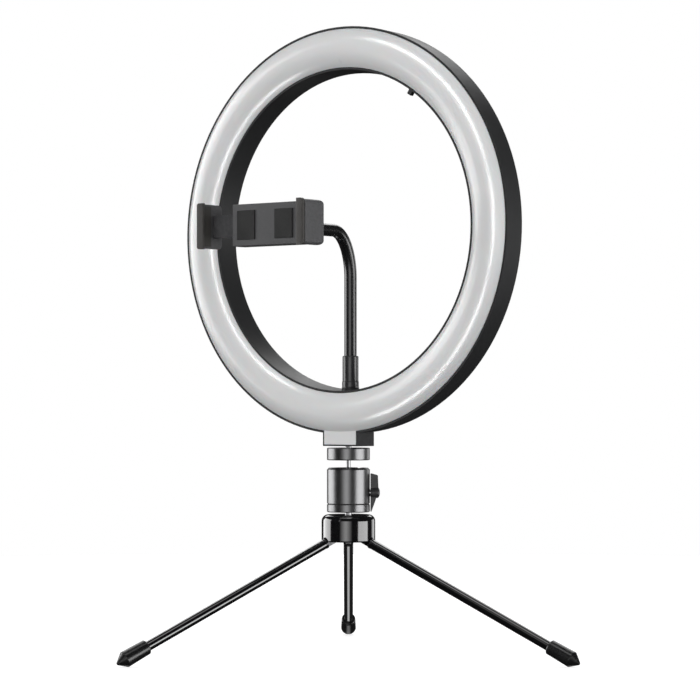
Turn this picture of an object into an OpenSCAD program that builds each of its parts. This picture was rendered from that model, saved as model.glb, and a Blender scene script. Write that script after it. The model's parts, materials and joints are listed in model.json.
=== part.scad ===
// Tabletop ring light: a round lamp on a small ball head and folding tripod, with a
// spring phone clamp on a gooseneck in the middle of the ring.
// +Z is up, the lamp faces -Y, and the origin is on the floor below the tripod's centre.

/* [Ring lamp] */
// Outside diameter of the ring housing
ring_od = 260; // [258:0.5:261]
// Diameter of the open centre, at the front edge
ring_id = 205; // [204:0.5:206]
// Depth of the housing from front rim to back
ring_depth = 17.6; // [17:0.2:18.4]
// How far the diffuser bulges in front of the rim
diffuser_rise = 5; // [3:0.5:6]
// Number of LEDs in each of the two rows
led_count = 60; // [24:4:60]
// Width of the mount block under the ring
block_w = 27.8; // [27:0.2:29]
// Height of the mount block's underside above the floor
block_bottom = 134.1; // [133.9:0.1:134.6]

/* [Phone holder] */
// Gooseneck diameter
neck_d = 8; // [7.6:0.1:8.2]
// Height of the gooseneck's level end, which is the middle of the clamp
clamp_z = 271.6; // [268:0.2:276]
// Gap between the two jaw pads at rest
phone_gap = 75; // [73:0.5:79]
// Height of the jaws
jaw_h = 27.5; // [26:0.5:29]

/* [Ball head] */
// Outside diameter of the ball head and of the lock wheel
head_d = 27.5; // [27.2:0.1:28]
// Ball diameter
ball_d = 15; // [14.8:0.1:15.2]
// Diameter of the bare stem between ball and stud
stem_d = 3; // [2.8:0.1:3.8]
// Compass angle of the lock knob, from +X
knob_angle = 38; // [30:1:45]

/* [Tripod] */
// Diameter of the hub that the legs fold from
hub_d = 34.4; // [34:0.2:36]
// Slope of an open leg below the horizontal
leg_slope = 25.5; // [24.5:0.1:26.3]
// Length of a leg from its pivot to the flat end of its foot's barrel
leg_len = 165.1; // [160:0.1:170]
// Leg tube diameter
leg_d = 6.2; // [5.8:0.1:6.4]

/* [Hidden] */
$fn = 48;
eps = 0.01;       // overshoot of a cut past the face it opens
fit = 0.05;       // running clearance of a shaft, all round
seat = 0.1;       // clearance of a sliding or seated fit

// Leg positions round the hub, as compass angles from +X
back_az = 128.15;
left_az = 248.15;
right_az = 8.15;

// Leg: measured along its axis from the pivot
pivot_r = 9;                    // pivot's distance from the centre
pivot_above = 2.75;             // pivot's height above the hub's lower edge
foot_end_r = 5.15;              // the foot's barrel at its outer end
foot_start_r = 4.75;            // the foot's barrel where the tube enters
foot_barrel = 16.8;             // length of the barrel
foot_nose = 6;                  // length of the pointed end
foot_nose_r = 1.2;
foot_floor = 4;                 // solid end of the barrel that the tube stops against
collar_at = 8.2;                // start of the collar that closes the tube
collar_len = 1.4;
collar_r = leg_d / 2 + 0.2;
leg_notch_r = leg_d / 2 + 0.6;  // notch that a leg passes through in the hub's wall
tube_wall = 0.6;
tongue_t = 3.6;                 // thickness of the flattened tongue
tongue_h = 4.8;                 // height of the tongue
pin_r = 1.25;
pivot_z = leg_len * sin(leg_slope) + foot_end_r * cos(leg_slope);

// Hub
hub_r = hub_d / 2;
hub_bottom = pivot_z - pivot_above;
hub_top = hub_bottom + 17.3;
hub_round = 4.2;                // dome at the top edge
hub_cavity_r = 15;
hub_cavity_top = hub_bottom + 12.3;
hub_chamfer = 0.8;
yoke_top = hub_cavity_top - 3;
yoke_t = 3.4;
yoke_r = hub_cavity_r - seat;
yoke_screw_at = 11.4;           // radius of the yoke's three screws
thread_r = 3.175;               // 1/4-20 stud
neck_r = 2.1;                   // undercut between hub and head

// Ball head
head_r = head_d / 2;
base_bottom = hub_top + 1.5;
base_top = base_bottom + 4.9;
body_bottom = base_top + 0.8;
body_top = base_bottom + 28.4;
head_chamfer = 1.2;
ball_r = ball_d / 2;
ball_z = body_top - 14.6;
cavity_r = ball_r + seat;       // spherical seat round the ball
collar_lip = 4.5;               // height of the seat's upper lip above the ball's centre
mouth_r = 9.9;                  // opening at the top of the head
slot_half = 2.3;                // half width of the tilt slot
seat_r = 10.2;                  // lower seat and bottom plate
seat_top = ball_z - 4.2;
plate_top = body_bottom + 1.05;
skirt_in = 6.6;                 // pan bearing skirt
skirt_out = 9;
skirt_bottom = base_bottom + 2.2;
clip_z = base_bottom + 3.2;     // snap ring between skirt and base ring
clip_t = 0.8;
clip_w = 1.1;
knob_z = ball_z - 1.3;
knob_screw_r = 2.5;
shoe_r = 2.4;
shoe_start = 6;                 // inner end of the brake shoe, before the ball is cut out
shoe_end = 9.6;                 // outer end of the brake shoe
knob_screw_end = head_r + 4;
knob_gap = 0.4;                 // gap between head and knob
knob_hub_r = 3.6;
knob_reach = 6.4;               // how far the knob stands off the head
wing_t = 4;

// Lock wheel and stud
wheel_bottom = body_top + 4.9;
wheel_top = wheel_bottom + 7.9;
wheel_recess = 1.2;
wheel_recess_r = 11;
stem_r = stem_d / 2;
stud_start = wheel_bottom + 0.2;
relief_start = wheel_top - 0.4;
relief_end = block_bottom + 0.4;
relief_r = 2;
stud_end = block_bottom + 7.9;

// Ring lamp: a profile point is (radius, y)
ring_r = ring_od / 2;
ring_in = ring_id / 2;
ring_z = 141.9 + ring_r;
front_y = -ring_depth / 2;
back_y = ring_depth / 2;
ring_draft_out = 0.4;
ring_draft_in = 1;
ring_round = 1.6;
shell_t = 1.5;
lip_t = 1.35;                   // black rim that shows round the diffuser
diffuser_t = 1.6;
diffuser_gap = 0.15;            // between the rim and the diffuser's edges
diffuser_in = ring_in + lip_t + diffuser_gap;
diffuser_out = ring_r - lip_t - diffuser_gap;
diffuser_mid = (diffuser_in + diffuser_out) / 2;
diffuser_skirt = 3.2;
board_in = 104.6;
board_out = 121;
board_y = 3;
board_t = 1.6;
warm_row_r = 108;
white_row_r = 117.2;
screw_row_r = 112.6;
post_row_r = 125.1;             // diffuser posts and back screws
post_r = 2.7;
screw_count = 6;
screw_phase = 30;
back_boss_h = 1.2;
led_size = [2.8, 0.8, 2.8];
nub_angle = 57;

// Mount block
block_t = 1.4;
tab_border = 1;
boss_r = 5.6;
insert_r = 4;
gland_x = 9;
gland_z = block_bottom + 5.2;
gland_r = 2.7;
gland_flange_r = 3.5;
gland_flange_t = 1.5;
cord_r = 2;

// Gooseneck
neck_tube_r = neck_d / 2;
neck_y = 2.2;
neck_pad_z = ring_z - ring_in + 2.4;  // flat pad on the inner rim
ferrule_bottom = neck_pad_z + seat;
ferrule_step = ferrule_bottom + 3.3;
ferrule_top = 192;
ferrule_r = 5.15;
ferrule_foot_r = 5.4;
neck_stud_r = 3;
neck_stud_bottom = ferrule_bottom - 7;
bend_y = 18;                    // depth of the elliptical bend
bend_z = 30;                    // height of the elliptical bend
joint_first = 10;               // path length from the ferrule to the first joint
joint_pitch = 21;
joint_count = 6;
knuckle_gap = 0.35;             // gap between a segment's dome and the next one's cup
knuckle_rim = 2.2;              // where the next segment's rim starts past the joint
neck_sides = 16;

// Phone clamp
ball2_r = 5.5;
ball2_y = -70;
ball2_neck_r = 2.5;
upper_start = -52;              // y of the upper ferrule's open end
upper_end = -61;
clamp_back_y = -78.8;
clamp_front_y = -90.5;
cover_t = 2;
jaw_out = phone_gap / 2 + 5.4;  // outer face of a jaw
jaw_wall = 4;
jaw_front_y = -96.8;
jaw_corner = 2.4;               // outer corners of a jaw, seen from the front
pad_front_y = -98.9;
pad_proud = 0.5;                // how far a pad's front stands above and below its jaw
pad_lip = 0.5;                  // how far a pad's front edge leans towards the phone
body_left = -20;
body_h = 26;
body_wall = 1.8;
rail_front_y = -86.6;
rail_back_y = -83.4;
rail_h = 14;
rail_end = 6;
jaw_round = 3;
spring_r = 2;
spring_wire_r = 0.35;
spring_turns = 10;
spring_spread = 3.4;            // height of each spring above or below the middle
cover_screw_z = 9.6;
cover_screw_xs = [body_left + 4, jaw_out - jaw_wall - 5];
cover_boss_r = 2.3;

// ---------------------------------------------------------------- helpers

// Spins a profile given as [radius, y] about the ring's own axis
module about_ring_axis() {
    translate([0, 0, ring_z]) rotate([-90, 0, 0]) children();
}

module ring_profile(points) {
    about_ring_axis() rotate_extrude($fn = 180) polygon(points);
}

// A point at radius r and angle a on the ring, a counted from +X towards +Z
function ring_point(r, a, y) = [r * cos(a), y, ring_z + r * sin(a)];

// A cylinder along +Y that starts at a point
module rod_y(p, r, len, r2 = -1) {
    translate(p) rotate([-90, 0, 0]) cylinder(r1 = r, r2 = r2 < 0 ? r : r2, h = len);
}

module tube_z(r_out, r_in, z0, z1) {
    difference() {
        translate([0, 0, z0]) cylinder(r = r_out, h = z1 - z0);
        translate([0, 0, z0 - 1]) cylinder(r = r_in, h = z1 - z0 + 2);
    }
}

// Corner points of a rectangle with round corners, centred on the origin
function round_rect(w, h, r, steps = 5) = [
    for (c = [[1, 1, 0], [-1, 1, 90], [-1, -1, 180], [1, -1, 270]])
        for (i = [0 : steps])
            [c[0] * (w / 2 - r) + r * cos(c[2] + i * 90 / steps),
             c[1] * (h / 2 - r) + r * sin(c[2] + i * 90 / steps)]
];

// A slab whose outline lies in the YZ plane, running along X from x0 to x1
module slab_x(x0, x1, y0, y1, z_mid, h, r) {
    translate([x0, (y0 + y1) / 2, z_mid])
        rotate([90, 0, 90])
            linear_extrude(x1 - x0) polygon(round_rect(abs(y1 - y0), h, r));
}

module box(lo, hi) {
    translate(lo) cube(hi - lo);
}

// Mirrors a right-hand jaw piece to the left
module left_jaw() {
    mirror([1, 0, 0]) children();
}

// ---------------------------------------------------------------- ring lamp

function housing_profile() = [
    [ring_r, front_y],
    [ring_r - ring_draft_out, back_y - ring_round],
    for (a = [15 : 15 : 90])
        [ring_r - ring_draft_out - ring_round + ring_round * cos(a),
         back_y - ring_round + ring_round * sin(a)],
    for (a = [90 : 15 : 165])
        [ring_in - ring_draft_in + ring_round + ring_round * cos(a),
         back_y - ring_round + ring_round * sin(a)],
    [ring_in - ring_draft_in, back_y - ring_round],
    [ring_in, front_y],
    [ring_in + lip_t, front_y],
    [ring_in + shell_t, back_y - shell_t],
    [ring_r - ring_draft_out - shell_t, back_y - shell_t],
    [ring_r - lip_t, front_y]
];

// The block and its hollow, which opens into the ring
module block_outside() {
    box([-block_w / 2, front_y, block_bottom],
        [block_w / 2, back_y, ring_z - ring_r + 1.2]);
}

module block_inside() {
    box([-block_w / 2 + block_t, front_y - 1, block_bottom + block_t],
        [block_w / 2 - block_t, back_y - shell_t, ring_z - ring_r + 5.5]);
}

// The step that the diffuser's tab sits in
module tab_rebate() {
    side = block_w / 2 - tab_border + fit;
    box([-side, front_y - 1, block_bottom + tab_border - fit],
        [side, front_y + diffuser_t + fit, ring_z - ring_r + 5.5]);
}

// Solid wall round the brass insert that takes the gooseneck
module neck_boss() {
    translate([0, neck_y, neck_stud_bottom - 1.4])
        cylinder(r = boss_r, h = neck_pad_z - neck_stud_bottom + 1.4);
}

module insert_bores() {
    translate([0, 0, block_bottom - 1]) cylinder(r = insert_r, h = 9.4);
    translate([0, neck_y, neck_stud_bottom + eps]) cylinder(r = insert_r, h = 12);
    rod_y([gland_x, back_y - shell_t - 1, gland_z], gland_r, shell_t + 2);
}

module rear_housing() {
    color("#26272a")
    difference() {
        union() {
            difference() {
                union() {
                    ring_profile(housing_profile());
                    block_outside();
                }
                block_inside();
                tab_rebate();
            }
            translate([0, 0, block_bottom + 0.2]) cylinder(r = boss_r, h = 9.6);
            neck_boss();
            for (i = [0 : screw_count - 1]) {
                a = screw_phase + i * 360 / screw_count;
                rod_y(ring_point(screw_row_r, a, board_y + board_t), 2.6,
                      back_y - shell_t - board_y - board_t + 0.5);
                rod_y(ring_point(post_row_r, a, back_y - shell_t - back_boss_h),
                      post_r, back_boss_h + 0.5);
            }
            rim_nub();
        }
        insert_bores();
        for (i = [0 : screw_count - 1]) {
            a = screw_phase + i * 360 / screw_count;
            rod_y(ring_point(screw_row_r, a, board_y), 1, 4.6);
            rod_y(ring_point(post_row_r, a, 0), 1.2, 12);
            rod_y(ring_point(post_row_r, a, back_y - 1.2), 2.3, 3);
        }
    }
}

// Small moulded nub on the inner rim
module rim_nub() {
    translate(ring_point(ring_in - 1.2, nub_angle, front_y + 2.6))
        rotate([0, -nub_angle, 0]) cube([4.2, 3, 3], center = true);
}

function dome_y(r) =
    let (half = (diffuser_out - diffuser_in) / 2,
         big = (half * half + diffuser_rise * diffuser_rise) / (2 * diffuser_rise),
         off = r - diffuser_mid)
    front_y - (sqrt(big * big - off * off) - (big - diffuser_rise));

function diffuser_profile(steps = 14) = [
    for (i = [0 : steps])
        let (r = diffuser_in + i * (diffuser_out - diffuser_in) / steps)
        [r, dome_y(r)],
    [diffuser_out, front_y + diffuser_skirt],
    [diffuser_out - diffuser_t, front_y + diffuser_skirt],
    for (i = [steps : -1 : 0])
        let (r = diffuser_in + diffuser_t
                 + i * (diffuser_out - diffuser_in - 2 * diffuser_t) / steps)
        [r, dome_y(r) + diffuser_t],
    [diffuser_in + diffuser_t, front_y + diffuser_skirt],
    [diffuser_in, front_y + diffuser_skirt]
];

module diffuser() {
    tab_top = ring_z - ring_r + 3;
    post_end = back_y - shell_t - back_boss_h - eps * 5;
    color("#d9dadb")
    difference() {
        union() {
            ring_profile(diffuser_profile());
            box([-block_w / 2 + tab_border, front_y, block_bottom + tab_border],
                [block_w / 2 - tab_border, front_y + diffuser_t, tab_top]);
            for (i = [0 : screw_count - 1]) {
                a = screw_phase + i * 360 / screw_count;
                rod_y(ring_point(post_row_r, a, front_y - 0.5), post_r,
                      post_end - front_y + 0.5);
            }
        }
        for (i = [0 : screw_count - 1]) {
            a = screw_phase + i * 360 / screw_count;
            rod_y(ring_point(post_row_r, a, post_end - 7), 1, 8);
        }
    }
}

module led_board() {
    color("#e9e9e4")
    difference() {
        about_ring_axis()
            rotate_extrude($fn = 180)
                translate([board_in, board_y]) square([board_out - board_in, board_t]);
        box([-7, board_y - 1, ring_z - screw_row_r], [7, board_y + 3, ring_z]);
        for (i = [0 : screw_count - 1]) {
            a = screw_phase + i * 360 / screw_count;
            rod_y(ring_point(screw_row_r, a, board_y - 1), 1.1, 4);
        }
    }
}

// One row of LEDs on the board's front face, left out at the notch for the gooseneck
module led_row(r, phase) {
    for (i = [0 : led_count - 1]) {
        a = (i + phase) * 360 / led_count;
        p = ring_point(r, a, board_y - led_size[1] / 2);
        if (p[2] > ring_z || abs(p[0]) > 7 + led_size[0])
            translate(p) rotate([0, -a, 0]) cube(led_size, center = true);
    }
}

module warm_leds() {
    color("#f2c879") led_row(warm_row_r, 0.5);
}

module white_leds() {
    color("#f6f4e4") led_row(white_row_r, 0);
}

module board_screws() {
    color("silver")
    for (i = [0 : screw_count - 1]) {
        a = screw_phase + i * 360 / screw_count;
        rod_y(ring_point(screw_row_r, a, board_y - 1), 1.9, 1);
        rod_y(ring_point(screw_row_r, a, board_y - eps), 0.95, 4);
    }
}

module back_screws() {
    color("#3b3c40")
    for (i = [0 : screw_count - 1]) {
        a = screw_phase + i * 360 / screw_count;
        p = ring_point(post_row_r, a, back_y - 1.15);
        difference() {
            union() {
                rod_y(p, 2.1, 1);
                rod_y([p[0], p[1] - 7, p[2]], 0.95, 7.5);
            }
            for (turn = [0, 90])
                translate([p[0], p[1] + 0.9, p[2]]) rotate([0, turn, 0])
                    cube([2.4, 1, 0.5], center = true);
        }
    }
}

module lamp_insert() {
    color("#b08d4a") tube_z(insert_r, thread_r + fit, block_bottom, block_bottom + 8.3);
}

module neck_insert() {
    color("#b08d4a")
    translate([0, neck_y, 0])
        tube_z(insert_r, neck_stud_r + fit, neck_stud_bottom + 0.1, neck_pad_z);
}

module cable_gland() {
    color("#1c1c1e")
    difference() {
        union() {
            rod_y([gland_x, back_y - shell_t - 1.4, gland_z], gland_r, shell_t + 1.6);
            rod_y([gland_x, back_y, gland_z], gland_flange_r, gland_flange_t, 3);
            rod_y([gland_x, back_y - shell_t - 1.4, gland_z], gland_r + 0.5, 1.35);
        }
        rod_y([gland_x, 0, gland_z], cord_r, 20);
    }
}

// Two leads from the block up to solder points on the back of the board
module lead_wires() {
    lead_r = 0.6;
    lead_bottom = gland_z + 3.4;
    lead_top = 153;
    color("firebrick")
    for (x = [8.2, 10.2])
        translate([x, board_y + board_t + lead_r + fit, lead_bottom])
            cylinder(r = lead_r, h = lead_top - lead_bottom);
}

// ---------------------------------------------------------------- gooseneck

straight_len = clamp_z - bend_z - ferrule_top;
bend_steps = 60;

// The bend as a list of points, and its length so far at each one
bend_points = [
    for (i = [0 : bend_steps])
        let (a = 90 * i / bend_steps)
        [neck_y - bend_y + bend_y * cos(a), clamp_z - bend_z + bend_z * sin(a)]
];
bend_runs = [
    for (i = [0 : bend_steps])
        i == 0 ? 0 : norm(bend_points[i] - bend_points[i - 1])
];
function run_to(i) = i == 0 ? 0 : bend_runs[i] + run_to(i - 1);
bend_len = run_to(bend_steps);

// The bend's point after a length s of it
function on_bend(s, i = 1) =
    s <= bend_runs[i] || i == bend_steps
        ? bend_points[i - 1] + (bend_points[i] - bend_points[i - 1]) * s / bend_runs[i]
        : on_bend(s - bend_runs[i], i + 1);

// The neck's centre line as [y, z], s counted from the top of the lower ferrule
function neck_at(s) =
    s <= straight_len ? [neck_y, ferrule_top + s]
    : s < straight_len + bend_len ? on_bend(s - straight_len)
    : [neck_y - bend_y - (s - straight_len - bend_len), clamp_z];

function neck_heading(s) =
    let (d = neck_at(s + 0.5) - neck_at(s - 0.5)) d / norm(d);

function joint_at(k) = joint_first + (k - 1) * joint_pitch;

// Ring of points of radius r round the centre line at s
function neck_ring(s, r) =
    let (p = neck_at(s), d = neck_heading(s))
    [for (i = [0 : neck_sides - 1])
        let (a = 360 * i / neck_sides)
        [r * cos(a), p[0] - r * sin(a) * d[1], p[1] + r * sin(a) * d[0]]];

// A closed tube through stations [s, r]
module neck_tube(stations) {
    n = len(stations);
    rings = [for (st = stations) each neck_ring(st[0], st[1])];
    walls = [
        for (k = [0 : n - 2])
            for (i = [0 : neck_sides - 1])
                let (j = (i + 1) % neck_sides)
                [k * neck_sides + i, k * neck_sides + j,
                 (k + 1) * neck_sides + j, (k + 1) * neck_sides + i]
    ];
    first_cap = [for (i = [neck_sides - 1 : -1 : 0]) i];
    last_cap = [for (i = [0 : neck_sides - 1]) (n - 1) * neck_sides + i];
    polyhedron(points = rings, faces = concat([first_cap], walls, [last_cap]));
}

// The cup that the segment before sits in, and the dome that enters the next cup
function cup_stations(joint) =
    let (r = neck_tube_r + knuckle_gap)
    [for (a = [6, 24, 42, 56]) [joint + r * cos(a), r * sin(a)],
     [joint + knuckle_rim, neck_tube_r]];

function dome_stations(joint) =
    [for (a = [90, 68, 46, 24, 6]) [joint + neck_tube_r * cos(a), neck_tube_r * sin(a)]];

module neck_segment(k) {
    from = k == 1 ? 0 : joint_at(k - 1);
    to = joint_at(k);
    start = k == 1 ? [[-8, neck_tube_r]] : cup_stations(from);
    body_from = k == 1 ? -8 : from + knuckle_rim;
    middle = [for (i = [1 : 4]) [body_from + i * (to - body_from) / 5, neck_tube_r]];
    color("#1d1d20") neck_tube(concat(start, middle, dome_stations(to)));
}

module last_neck_segment() {
    from = joint_at(joint_count);
    to = straight_len + bend_len + (neck_y - bend_y - upper_start) + 5;
    body_from = from + knuckle_rim;
    middle = [for (i = [1 : 3]) [body_from + i * (to - body_from) / 3, neck_tube_r]];
    color("#1d1d20") neck_tube(concat(cup_stations(from), middle));
}

module gooseneck_1() { neck_segment(1); }
module gooseneck_2() { neck_segment(2); }
module gooseneck_3() { neck_segment(3); }
module gooseneck_4() { neck_segment(4); }
module gooseneck_5() { neck_segment(5); }
module gooseneck_6() { neck_segment(6); }
module gooseneck_7() { last_neck_segment(); }

module lower_ferrule() {
    chamfer = 0.6;
    color("#1b1b1d")
    translate([0, neck_y, 0])
    difference() {
        rotate_extrude() polygon([
            [0, neck_stud_bottom + 0.3],
            [neck_stud_r, neck_stud_bottom + 0.3],
            [neck_stud_r, ferrule_bottom],
            [ferrule_foot_r, ferrule_bottom],
            [ferrule_foot_r, ferrule_step],
            [ferrule_r, ferrule_step + 0.3],
            [ferrule_r, ferrule_top - chamfer],
            [ferrule_r - chamfer, ferrule_top],
            [0, ferrule_top]
        ]);
        translate([0, 0, ferrule_top - 8.05]) cylinder(r = neck_tube_r + fit, h = 9);
    }
}

module upper_ferrule() {
    chamfer = 0.6;
    socket = 5.05;
    color("#1b1b1d")
    difference() {
        union() {
            translate([0, upper_start, clamp_z]) rotate([90, 0, 0])
                rotate_extrude() polygon([
                    [0, 0],
                    [ferrule_r - chamfer, 0],
                    [ferrule_r, chamfer],
                    [ferrule_r, upper_start - upper_end - chamfer],
                    [ferrule_r - chamfer, upper_start - upper_end],
                    [ball2_neck_r, upper_start - upper_end],
                    [ball2_neck_r, upper_start - ball2_y],
                    [0, upper_start - ball2_y]
                ]);
            translate([0, ball2_y, clamp_z]) sphere(r = ball2_r);
        }
        rod_y([0, upper_start - socket, clamp_z], neck_tube_r + fit, socket + 1);
    }
}

// ---------------------------------------------------------------- phone clamp

nut_r = 10.5;
nut_front_y = -77.6;
nut_back_y = -64.6;
nut_lip_y = ball2_y + 3;
socket_r = 8.2;
socket_back_y = -69.4;
ball2_seat = ball2_r + seat;

// Nut that draws the ball into its socket, with finger scallops
module ball_nut() {
    color("#202023")
    difference() {
        rod_y([0, nut_front_y, clamp_z], nut_r, nut_back_y - nut_front_y);
        rod_y([0, nut_front_y - 1, clamp_z], socket_r + seat, socket_back_y - nut_front_y + 1.2);
        translate([0, ball2_y, clamp_z]) sphere(r = ball2_seat);
        rod_y([0, ball2_y + 2.9, clamp_z], 4.5, nut_back_y - ball2_y, 7.4);
        for (i = [0 : 11])
            translate([0, 0, clamp_z]) rotate([0, i * 30, 0])
                rod_y([nut_r + 1, nut_front_y - 1, 0], 1.6, 20);
    }
}

module clamp_cover() {
    color("#2c2c2f")
    difference() {
        union() {
            slab_x(body_left, jaw_out - jaw_wall, clamp_back_y, clamp_back_y - cover_t,
                   clamp_z, body_h, 0.6);
            rod_y([0, clamp_back_y - 0.5, clamp_z], socket_r, socket_back_y - clamp_back_y + 0.5);
        }
        translate([0, ball2_y, clamp_z]) rotate([90, 0, 0]) sphere(r = ball2_seat);
        for (x = cover_screw_xs)
            for (side = [-1, 1]) {
                p = [x, clamp_back_y - 4, clamp_z + side * cover_screw_z];
                rod_y(p, 1.15, 6);
                rod_y([p[0], clamp_back_y - 1, p[2]], 2.1, 3);
            }
    }
}

module cover_screws() {
    color("#3b3c40")
    for (x = cover_screw_xs)
        for (side = [-1, 1]) {
            p = [x, clamp_back_y - 0.95, clamp_z + side * cover_screw_z];
            difference() {
                union() {
                    rod_y(p, 2, 0.9);
                    rod_y([p[0], p[1] - 6.5, p[2]], 0.95, 6.7);
                }
                for (turn = [0, 90])
                    translate([p[0], p[1] + 0.9, p[2]]) rotate([0, turn, 0])
                        cube([2.2, 0.9, 0.5], center = true);
            }
        }
}

// Bar along Y whose outer corners are rounded, which trims a jaw on the +X side
module jaw_trim(half, out) {
    translate([0, clamp_back_y + 1, clamp_z]) rotate([90, 0, 0])
        linear_extrude(clamp_back_y - pad_front_y + 2)
            intersection() {
                polygon(round_rect(2 * out, 2 * half, jaw_corner));
                translate([0, -half]) square([out, 2 * half]);
            }
}

// Wall of one jaw, on the +X side, with its rear and outer corners rounded
module jaw_wall_solid() {
    half = jaw_h / 2;
    corner = [for (a = [0 : 15 : 90]) [jaw_round * (1 - sin(a)), jaw_round * (1 - cos(a))]];
    top = [for (c = corner) [clamp_back_y - c[0], clamp_z + half - c[1]]];
    bottom = [for (i = [len(corner) - 1 : -1 : 0])
        [clamp_back_y - corner[i][0], clamp_z - half + corner[i][1]]];
    front = [[jaw_front_y, clamp_z - half], [jaw_front_y, clamp_z + half]];
    intersection() {
        translate([jaw_out - jaw_wall, 0, 0]) rotate([90, 0, 90])
            linear_extrude(jaw_wall) polygon(concat(front, top, bottom));
        jaw_trim(half, jaw_out);
    }
}

module clamp_body() {
    inner_left = body_left + body_wall;
    inner_right = jaw_out - jaw_wall - 1.5;
    color("#343437")
    difference() {
        union() {
            slab_x(body_left, jaw_out - jaw_wall + 0.5, clamp_back_y - cover_t - eps,
                   clamp_front_y, clamp_z, body_h, 0.6);
            jaw_wall_solid();
        }
        // hollow for the rail and its springs, open at the back
        difference() {
            box([inner_left, clamp_front_y + body_wall, clamp_z - body_h / 2 + body_wall],
                [inner_right, clamp_back_y - cover_t + 1, clamp_z + body_h / 2 - body_wall]);
            for (side = [-1, 1])
                for (x = cover_screw_xs)
                    rod_y([x, clamp_front_y, clamp_z + side * cover_screw_z], cover_boss_r, 15);
        }
        for (side = [-1, 1])
            for (x = cover_screw_xs)
                rod_y([x, clamp_front_y + 2.6, clamp_z + side * cover_screw_z], 0.95, 15);
        // slot in the left end for the rail
        box([body_left - 1, rail_front_y - 0.2, clamp_z - rail_h / 2 - 0.2],
            [inner_left + 1, rail_back_y + 0.2, clamp_z + rail_h / 2 + 0.2]);
    }
}

module sliding_jaw() {
    color("#343437")
    union() {
        left_jaw() jaw_wall_solid();
        box([-jaw_out + 1, rail_front_y, clamp_z - rail_h / 2],
            [rail_end, rail_back_y, clamp_z + rail_h / 2]);
        // spring lug at the rail's end
        box([rail_end - 3, rail_back_y - eps, clamp_z - 2.6],
            [rail_end, rail_back_y + 2.2, clamp_z + 2.6]);
    }
}

// A jaw pad on the +X side, seen from above: a liner that wraps round the jaw's front
function pad_outline() =
    let (inner = phone_gap / 2, liner = jaw_out - jaw_wall, nose = jaw_out - 0.1)
    [
        [inner, clamp_front_y - 0.3],
        [liner, clamp_front_y - 0.3],
        [liner, jaw_front_y],
        [nose - 0.7, jaw_front_y],
        [nose, jaw_front_y - 0.5],
        [nose, pad_front_y + 0.9],
        [nose - 0.3, pad_front_y + 0.3],
        [nose - 0.9, pad_front_y],
        [inner - pad_lip + 0.8, pad_front_y],
        [inner - pad_lip + 0.2, pad_front_y + 0.3],
        [inner - pad_lip, pad_front_y + 0.9],
        [inner, jaw_front_y - 0.2]
    ];

module jaw_pad() {
    half = jaw_h / 2;
    color("#4a4744")
    intersection() {
        difference() {
            translate([0, 0, clamp_z - half - pad_proud]) linear_extrude(jaw_h + 2 * pad_proud)
                polygon(pad_outline());
            // behind its front the pad is as high as the inside of the jaw
            for (side = [-1, 1])
                box([0, jaw_front_y, clamp_z + (side > 0 ? half - 1.2 : -half - 2)],
                    [60, clamp_front_y + 2, clamp_z + (side > 0 ? half + 2 : -half + 1.2)]);
        }
        jaw_trim(half + pad_proud, jaw_out);
    }
}

module fixed_jaw_pad() { jaw_pad(); }
module sliding_jaw_pad() { left_jaw() jaw_pad(); }

module rest_pad() {
    color("#2a2a2c")
    for (x = [-9, 21])
        slab_x(x - 7, x + 7, clamp_front_y, clamp_front_y - 0.8, clamp_z, 18, 0.3);
}

// Two tension springs between the rail's lug and the body's right wall
function coil_points(len, sides, steps) = [
    for (k = [0 : steps])
        let (t = k / steps, a = 360 * spring_turns * t)
        for (i = [0 : sides - 1])
            let (b = 360 * i / sides, r = spring_r + spring_wire_r * cos(b))
            [t * len + spring_wire_r * sin(b), r * cos(a), r * sin(a)]
];

module coil_spring(len) {
    sides = 5;
    steps = spring_turns * 10;
    walls = [
        for (k = [0 : steps - 1])
            for (i = [0 : sides - 1])
                let (j = (i + 1) % sides, low = k * sides, high = low + sides)
                each [[low + i, high + i, high + j], [low + i, high + j, low + j]]
    ];
    first_cap = [for (i = [0 : sides - 1]) i];
    last_cap = [for (i = [sides - 1 : -1 : 0]) steps * sides + i];
    polyhedron(points = coil_points(len, sides, steps),
               faces = concat([first_cap], walls, [last_cap]));
}

module jaw_springs() {
    color("silver")
    for (side = [-1, 1])
        translate([rail_end + 1, (clamp_front_y + clamp_back_y - cover_t) / 2 + 0.4,
                   clamp_z + side * spring_spread])
            coil_spring(jaw_out - jaw_wall - 1.5 - rail_end - 2);
}

// ---------------------------------------------------------------- ball head

module ball_stem() {
    color("#b9bbbf")
    union() {
        translate([0, 0, ball_z]) sphere(r = ball_r, $fn = 64);
        translate([0, 0, ball_z]) cylinder(r = stem_r, h = stud_start - ball_z + 0.2);
        translate([0, 0, stud_start]) cylinder(r = thread_r, h = relief_start - stud_start);
        translate([0, 0, relief_start - 0.1]) cylinder(r = relief_r, h = relief_end - relief_start + 0.2);
        translate([0, 0, relief_end]) cylinder(r = thread_r, h = stud_end - relief_end);
    }
}

module lock_wheel() {
    edge = 0.4;
    color("#8d8f94")
    rotate_extrude($fn = 96) polygon([
        [thread_r + fit, wheel_bottom],
        [head_r - edge, wheel_bottom],
        [head_r, wheel_bottom + edge],
        [head_r, wheel_top - edge],
        [head_r - edge, wheel_top],
        [wheel_recess_r, wheel_top],
        [wheel_recess_r, wheel_top - wheel_recess],
        [thread_r + fit, wheel_top - wheel_recess]
    ]);
}

module friction_washer() {
    color("#2b2b2b")
    tube_z(wheel_recess_r - seat, thread_r + 3 * fit,
           wheel_top - wheel_recess + fit, wheel_top + fit);
}

// Where the knob's screw crosses the head's wall
module along_knob() {
    rotate([0, 0, knob_angle]) translate([0, 0, knob_z]) rotate([0, 90, 0]) children();
}

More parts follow.
